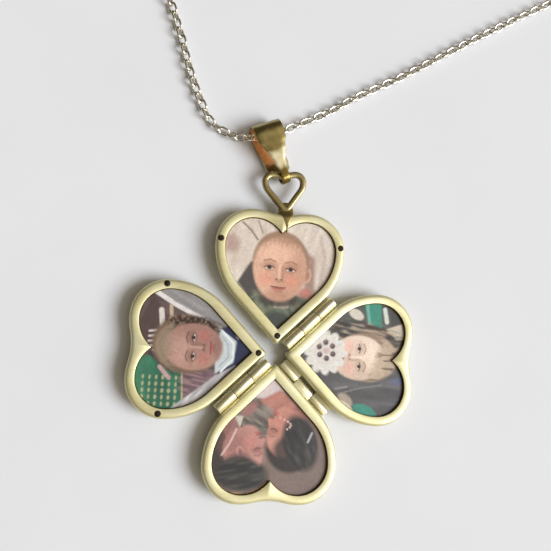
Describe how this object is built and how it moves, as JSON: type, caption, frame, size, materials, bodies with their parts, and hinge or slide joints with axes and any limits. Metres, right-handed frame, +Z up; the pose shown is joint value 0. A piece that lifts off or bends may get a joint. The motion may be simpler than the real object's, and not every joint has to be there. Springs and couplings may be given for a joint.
{
  "type": "folding heart locket",
  "caption": "Folding heart locket on a cable chain: heart leaves joined by barrel hinges open flat into a clover, each holding a picture.",
  "frame": {"origin": "under the middle of the pendant's footprint (leaves, ring and bail), at table level", "axes": "+Y from the bottom leaf towards the bail, +Z up from the table, towards the pictures' side"},
  "size_m": [0.1203, 0.1559, 0.0051],
  "materials": {
    "satin_brass": "brushed satin gold-tone",
    "polished_brass": "polished gold-tone",
    "chain_metal": "pale silver with a champagne tint",
    "magnet": "dark, dull",
    "photo_paper": "printed photo paper, semi-gloss"
  },
  "bodies": {
    "necklace": {"chain_left": "chain_metal", "chain_right": "chain_metal", "chain_coil": "chain_metal", "end_ring": "chain_metal", "clasp_ring": "chain_metal", "clasp_body": "chain_metal", "clasp_rivet": "chain_metal"},
    "clasp_trigger": {"clasp_trigger": "chain_metal"},
    "bail": {"bail": "polished_brass"},
    "top_leaf": {"leaf_frame_top": "satin_brass", "picture_card_top": "photo_paper", "magnet_top_left": "magnet", "magnet_top_right": "magnet", "magnet_top_tip": "magnet", "heart_ring": "polished_brass", "hinge_top_right_knuckle_1": "satin_brass", "hinge_top_right_knuckle_3": "satin_brass", "hinge_top_right_pin": "polished_brass"},
    "right_leaf": {"leaf_frame_right": "satin_brass", "picture_card_right": "photo_paper", "magnet_right_left": "magnet", "magnet_right_right": "magnet", "magnet_right_tip": "magnet", "hinge_top_right_knuckle_2": "satin_brass", "hinge_right_bottom_knuckle_1": "satin_brass", "hinge_right_bottom_knuckle_3": "satin_brass", "hinge_right_bottom_pin": "polished_brass"},
    "bottom_leaf": {"leaf_frame_bottom": "satin_brass", "picture_card_bottom": "photo_paper", "magnet_bottom_left": "magnet", "magnet_bottom_right": "magnet", "magnet_bottom_tip": "magnet", "hinge_right_bottom_knuckle_2": "satin_brass", "hinge_bottom_left_knuckle_1": "satin_brass", "hinge_bottom_left_knuckle_3": "satin_brass", "hinge_bottom_left_pin": "polished_brass"},
    "left_leaf": {"leaf_frame_left": "satin_brass", "picture_card_left": "photo_paper", "magnet_left_left": "magnet", "magnet_left_right": "magnet", "magnet_left_tip": "magnet", "hinge_bottom_left_knuckle_2": "satin_brass"}
  },
  "joints": [
    {"name": "bail_swing", "type": "hinge", "parent": "necklace", "child": "bail", "pos_m": [-0.0041, 0.03559, 0.00188], "axis": [0.9455, 0.3256, 0], "range_deg": [-60, 60]},
    {"name": "locket_swing", "type": "hinge", "parent": "bail", "child": "top_leaf", "pos_m": [-0.00006, 0.0267, 0.00268], "axis": [0.9954, 0.0958, 0], "range_deg": [-60, 60]},
    {"name": "top_right_hinge", "type": "hinge", "parent": "top_leaf", "child": "right_leaf", "pos_m": [0, -0.00986, 0.00389], "axis": [-0.7071, -0.7071, 0], "range_deg": [0, 180]},
    {"name": "right_bottom_hinge", "type": "hinge", "parent": "right_leaf", "child": "bottom_leaf", "pos_m": [0, -0.00986, 0.00103], "axis": [0.7071, -0.7071, 0], "range_deg": [0, 180]},
    {"name": "bottom_left_hinge", "type": "hinge", "parent": "bottom_leaf", "child": "left_leaf", "pos_m": [0, -0.00986, 0.00389], "axis": [0.7071, 0.7071, 0], "range_deg": [0, 180]},
    {"name": "clasp_trigger_pivot", "type": "hinge", "parent": "necklace", "child": "clasp_trigger", "pos_m": [0.08354, 0.11013, 0.00118], "axis": [0, 0, -1], "range_deg": [0, 22], "stiffness_Nm_per_rad": 0.01}
  ]
}
